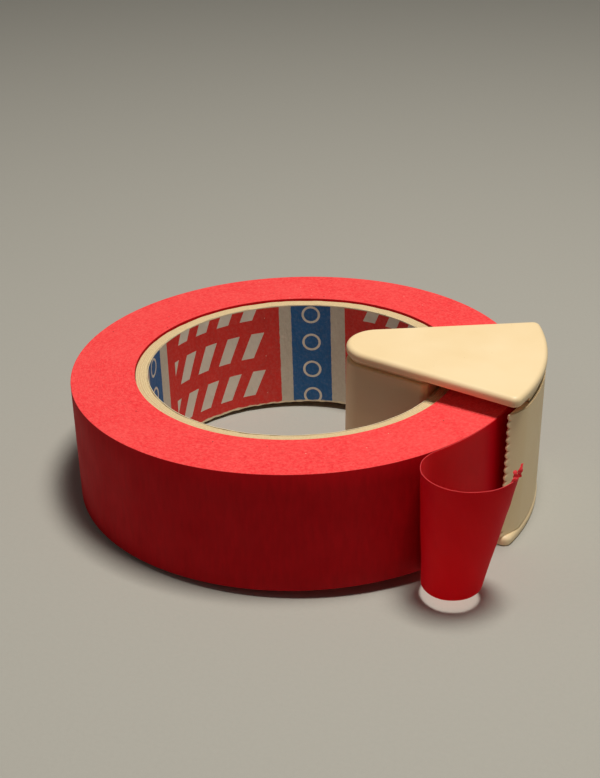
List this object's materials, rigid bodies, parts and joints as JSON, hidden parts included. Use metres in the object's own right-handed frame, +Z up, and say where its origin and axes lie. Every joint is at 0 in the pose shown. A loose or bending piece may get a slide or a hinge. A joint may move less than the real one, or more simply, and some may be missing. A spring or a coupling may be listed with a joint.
{
  "type": "tape dispenser",
  "caption": "Roll of red masking tape with a clip-on pie-slice cutter: lift-off lid, base plate, hollow inner post and a curved outer wall with a serrated tearing edge.",
  "frame": {"origin": "centre of the bounding box's footprint, on the surface that the dispenser lies on", "axes": "+Z up; +X along the clip's line of symmetry, from the roll's axis towards the cutter wall; the serrated edge and the tape's free end are on the -Y side"},
  "size_m": [0.1204, 0.115, 0.0408],
  "materials": {
    "cream_plastic": "fine satin moulded plastic",
    "red_tape": "matte crepe paper tape",
    "core_board": "raw wound board",
    "printed_liner": "uncoated printed paper"
  },
  "bodies": {
    "clip": {"base_plate": "cream_plastic", "inner_post": "cream_plastic", "cutter_wall": "cream_plastic"},
    "lid": {"lid_plate": "cream_plastic"},
    "roll": {"tape_winding": "red_tape", "core_tube": "core_board", "core_liner": "printed_liner"},
    "tail": {"tape_tail": "red_tape"}
  },
  "joints": [
    {"name": "roll_spin", "type": "hinge", "parent": "clip", "child": "roll", "pos_m": [-0.00179, 0, 0.00174], "axis": [-0.0302, 0, 0.9995], "continuous": true},
    {"name": "tail_peel", "type": "hinge", "parent": "roll", "child": "tail", "pos_m": [-0.00179, 0, 0.00174], "axis": [-0.0302, 0, 0.9995], "continuous": true},
    {"name": "lid_lift", "type": "slide", "parent": "clip", "child": "lid", "axis": [0, 0, 1], "range_m": [0, 0.03]}
  ],
  "couplings": [
    {"joint": "tail_peel", "follows": "roll_spin", "ratio": -1}
  ]
}
